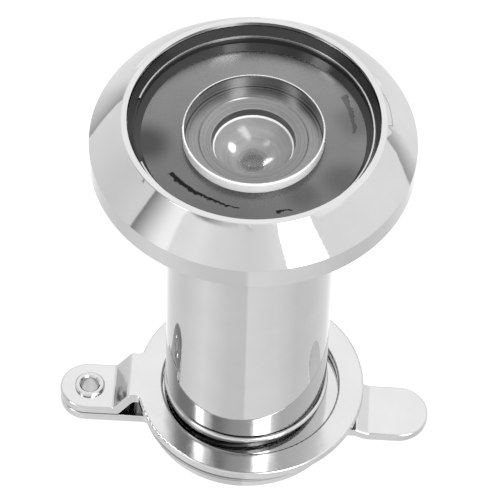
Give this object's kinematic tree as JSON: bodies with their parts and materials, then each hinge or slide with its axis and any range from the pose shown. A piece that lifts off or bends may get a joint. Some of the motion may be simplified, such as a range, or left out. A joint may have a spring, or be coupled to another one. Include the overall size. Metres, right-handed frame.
{
  "type": "door viewer",
  "caption": "Chrome door viewer with a bevelled head, screw-together barrels, stacked lenses, a loose ring plate and a swinging eyepiece cover.",
  "frame": {"origin": "centre of the door's bored hole at the outside face of the door, where the head seats", "axes": "+Z along the optical axis, out of the door; +X towards the cover's finger tab; the pivot ear is on -X"},
  "size_m": [0.0368, 0.0304, 0.0458],
  "materials": {
    "chrome_outer": "polished plate over brass",
    "chrome_inner": "polished plate over brass",
    "chrome_sheet": "tumbled and plated sheet",
    "chrome_rivet": "rolled bright",
    "washer": "thin dark fibre",
    "cell_grey": "dark satin anodised",
    "insert_grey": "satin anodised",
    "bright_wire": "bright drawn wire",
    "bright_ring": "bright turned",
    "blackened": "matt black",
    "objective_glass": "clear, polished",
    "inner_glass": "clear, polished"
  },
  "bodies": {
    "outer_half": {"outer_barrel": "chrome_outer", "lens_cell": "cell_grey", "front_snap_ring": "bright_wire", "objective_ring": "bright_ring", "front_insert": "insert_grey", "objective_lens": "objective_glass", "stop_disc": "insert_grey", "upper_spacer": "blackened", "middle_lens": "inner_glass", "lower_spacer": "blackened", "rear_lens": "inner_glass", "cell_lock_ring": "blackened"},
    "rosette": {"ring_plate": "chrome_sheet", "pivot_washer": "washer", "pivot_rivet": "chrome_rivet"},
    "inner_half": {"inner_barrel": "chrome_inner", "eyepiece_lens": "inner_glass", "eyepiece_ring": "bright_wire"},
    "cover": {"swing_cover": "chrome_sheet"}
  },
  "joints": [
    {"name": "thread_travel", "type": "slide", "parent": "outer_half", "child": "rosette", "axis": [0, 0, 1], "range_m": [-0.0185, 0.00015]},
    {"name": "inner_turn", "type": "hinge", "parent": "rosette", "child": "inner_half", "pos_m": [0, 0, -0.0366], "axis": [0, 0, 1], "range_deg": [-6659.9, 54]},
    {"name": "cover_swing", "type": "hinge", "parent": "rosette", "child": "cover", "pos_m": [-0.0156, 0, -0.0392], "axis": [0, 0, 1], "continuous": true}
  ],
  "couplings": [
    {"joint": "thread_travel", "follows": "inner_turn", "m_per_rad": 0.00015915}
  ]
}
